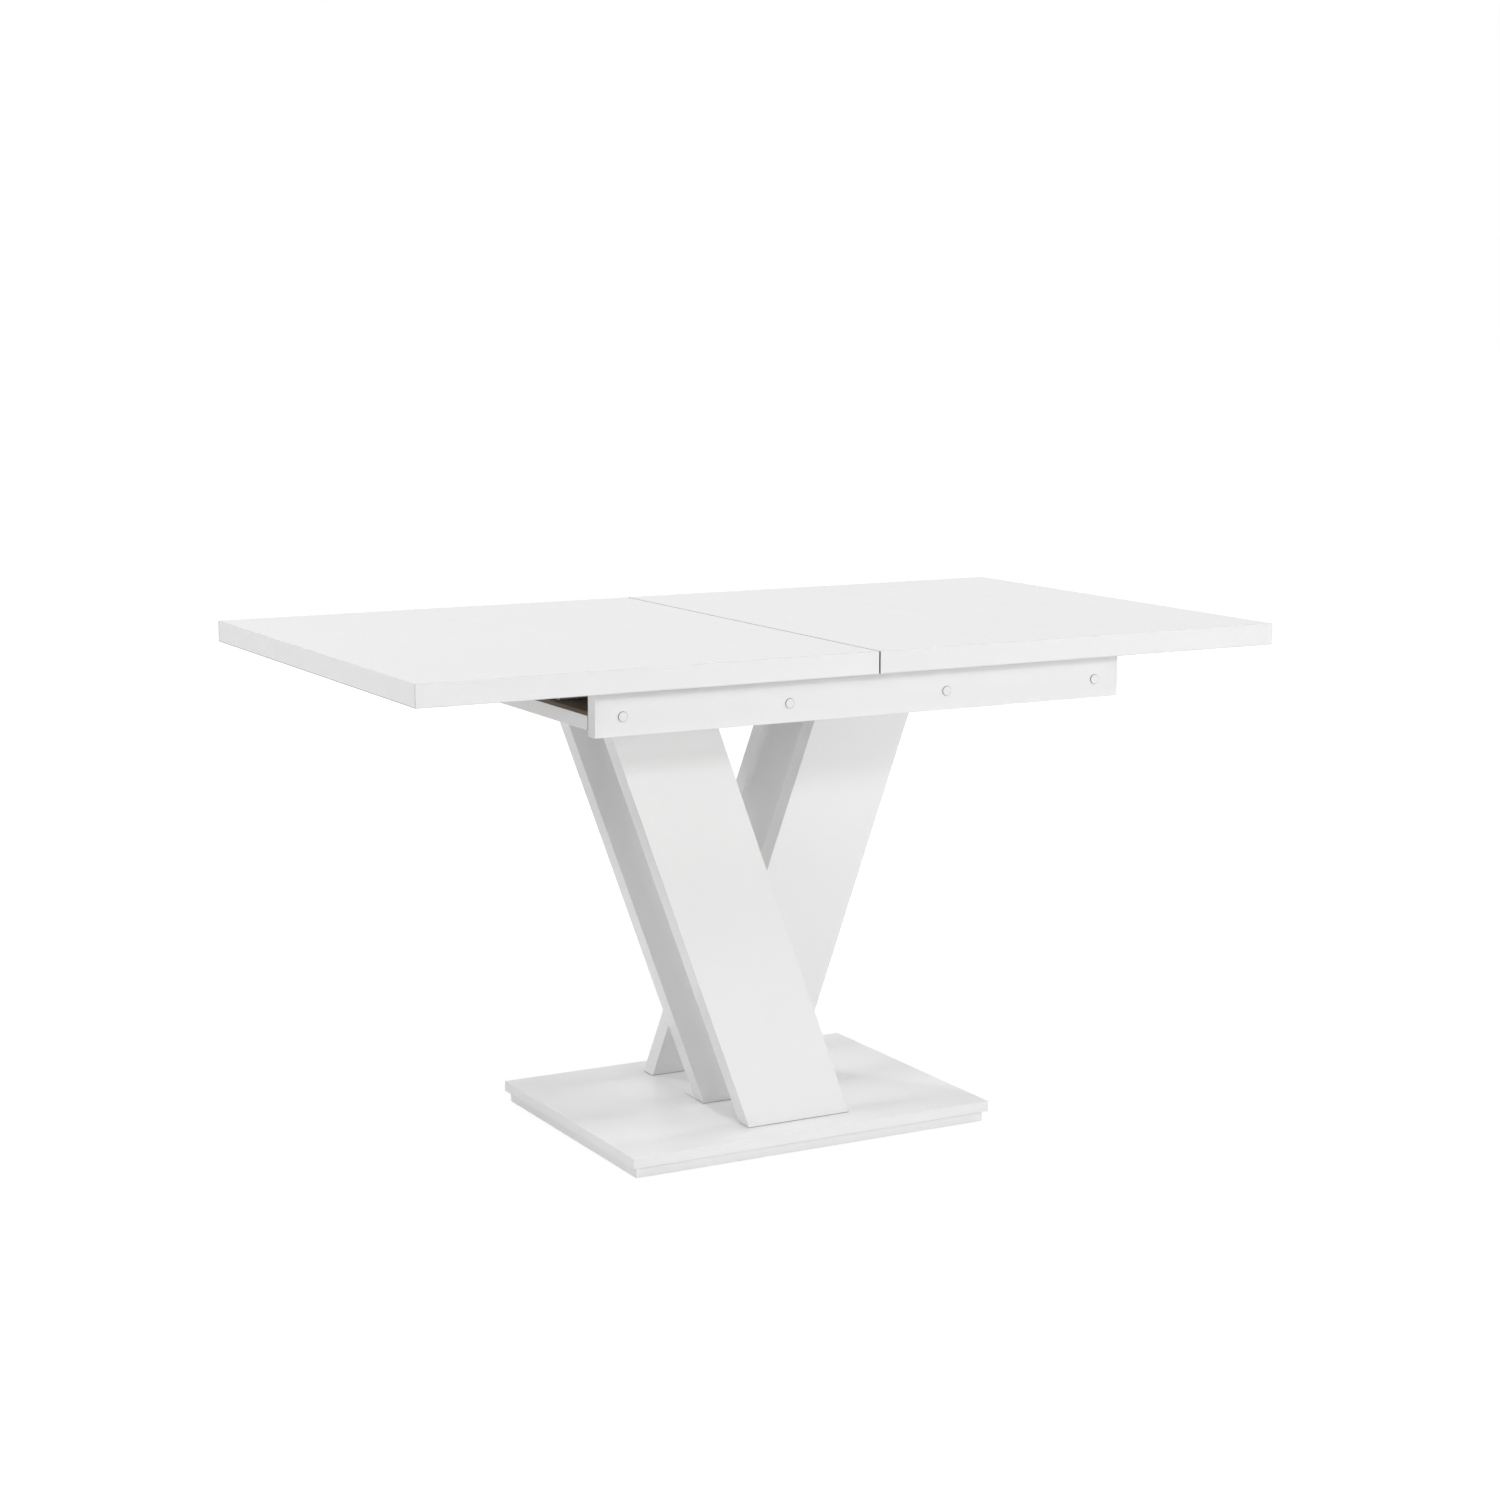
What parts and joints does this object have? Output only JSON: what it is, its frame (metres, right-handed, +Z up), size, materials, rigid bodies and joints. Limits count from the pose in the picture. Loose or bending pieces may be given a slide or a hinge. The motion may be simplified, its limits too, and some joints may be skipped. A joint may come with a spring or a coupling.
{
  "type": "extendable dining table",
  "caption": "Gloss white dining table whose top splits and slides apart for a stored leaf, on a V-shaped board pedestal and a base plate.",
  "frame": {"origin": "on the floor, under the middle of the closed top", "axes": "+X along the table to the right, the way the right top slides; +Y from the front to the rear; +Z up"},
  "size_m": [1.39, 0.8, 0.77],
  "materials": {
    "laminate": "high-gloss white laminate on particle board",
    "edge_band": "gloss white plastic edge band",
    "cap_plastic": "white plastic, satin",
    "beech": "planed beech, unvarnished",
    "aluminium": "extruded, mill finish",
    "nylon": "natural nylon",
    "zinc_steel": "zinc plated",
    "glide_plastic": "dark grey plastic"
  },
  "bodies": {
    "frame": {"apron_front": "laminate", "apron_rear": "laminate", "apron_screw_caps": "cap_plastic", "apron_screws": "zinc_steel", "base_plate_lower": "laminate", "base_plate_screws": "zinc_steel", "base_plate_upper": "laminate", "bearer_front": "beech", "bearer_rear": "beech", "bearer_screws": "zinc_steel", "end_rail_dowels": "beech", "end_rail_left": "laminate", "end_rail_right": "laminate", "floor_glides": "glide_plastic", "frame_stop_blocks": "beech", "leaf_bands": "edge_band", "leaf_board": "laminate", "leaf_dowels": "beech", "leaf_strips": "laminate", "leg_centre_dowels": "beech", "leg_centre_front": "laminate", "leg_centre_rear": "laminate", "leg_foot_screws": "zinc_steel", "leg_front": "laminate", "leg_rear": "laminate", "leg_top_screws": "zinc_steel", "shelf": "laminate", "track_front": "aluminium", "track_guides": "nylon", "track_rear": "aluminium", "track_screws": "zinc_steel"},
    "top_left": {"top_left_bands": "edge_band", "top_left_board": "laminate", "top_left_runner_front": "aluminium", "top_left_runner_rear": "aluminium", "top_left_runner_screws": "zinc_steel", "top_left_shoes": "nylon", "top_left_stops": "beech", "top_left_strips": "laminate"},
    "top_right": {"top_right_bands": "edge_band", "top_right_board": "laminate", "top_right_dowels": "beech", "top_right_runner_front": "aluminium", "top_right_runner_rear": "aluminium", "top_right_runner_screws": "zinc_steel", "top_right_shoes": "nylon", "top_right_stops": "beech", "top_right_strips": "laminate"}
  },
  "joints": [
    {"name": "top_left_slide", "type": "slide", "parent": "frame", "child": "top_left", "axis": [-1, 0, 0], "range_m": [0, 0.2]},
    {"name": "top_right_slide", "type": "slide", "parent": "frame", "child": "top_right", "axis": [1, 0, 0], "range_m": [0, 0.2]}
  ]
}
